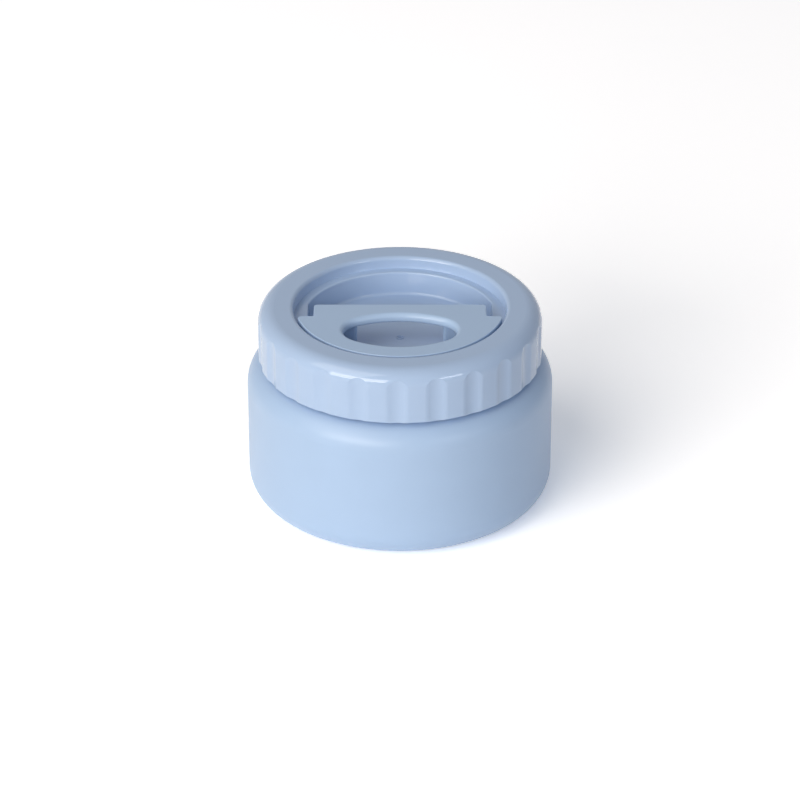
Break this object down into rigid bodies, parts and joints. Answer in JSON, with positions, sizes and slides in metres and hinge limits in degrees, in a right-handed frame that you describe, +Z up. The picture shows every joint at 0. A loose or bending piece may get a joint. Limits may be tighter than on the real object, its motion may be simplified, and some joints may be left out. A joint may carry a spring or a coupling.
{
  "type": "insulated food jar",
  "caption": "Low double-walled steel food jar with a wide screw mouth, and a fluted lid whose half-moon handle folds flat into a round recess.",
  "frame": {"origin": "centre of the flat ring that the jar stands on", "axes": "+Z up along the jar's axis, -Y the front, where the folded handle's free edge lies, +X along the handle's hinge pins to the right"},
  "size_m": [0.1, 0.1, 0.0666],
  "materials": {
    "outer_shell": "satin powder coat over drawn steel, bare at the neck",
    "inner_liner": "polished stainless steel",
    "base_plate": "drawn stainless steel",
    "vacuum_seal": "solder bead",
    "base_cover": "brushed stainless steel",
    "getter": "sintered pellet",
    "getter_cup": "thin steel",
    "heat_foil": "bright foil",
    "lid_shell": "glossy moulded polypropylene",
    "lid_liner": "smooth moulded polypropylene",
    "lid_insulation": "moulded foam",
    "seal_ring": "translucent silicone",
    "handle": "satin moulded polypropylene",
    "hinge_pin_left": "polished steel pin",
    "hinge_pin_right": "polished steel pin"
  },
  "bodies": {
    "jar": {"outer_shell": "outer_shell", "inner_liner": "inner_liner", "base_plate": "base_plate", "vacuum_seal": "vacuum_seal", "base_cover": "base_cover", "getter": "getter", "getter_cup": "getter_cup", "heat_foil": "heat_foil"},
    "seal": {"seal_ring": "seal_ring"},
    "lid": {"lid_shell": "lid_shell", "lid_liner": "lid_liner", "lid_insulation": "lid_insulation", "hinge_pin_left": "hinge_pin_left", "hinge_pin_right": "hinge_pin_right"},
    "handle": {"handle": "handle"}
  },
  "joints": [
    {"name": "lid_lift", "type": "slide", "parent": "jar", "child": "seal", "axis": [0, 0, 1], "range_m": [0, 0.018]},
    {"name": "lid_turn", "type": "hinge", "parent": "seal", "child": "lid", "pos_m": [0, 0, 0.0586], "axis": [0, 0, 1], "range_deg": [0, 540]},
    {"name": "handle_flip", "type": "hinge", "parent": "lid", "child": "handle", "pos_m": [0, -0.0015, 0.0584], "axis": [-1, 0, 0], "range_deg": [0, 90]}
  ],
  "couplings": [
    {"joint": "lid_lift", "follows": "lid_turn", "m_per_rad": 0.0019099}
  ]
}
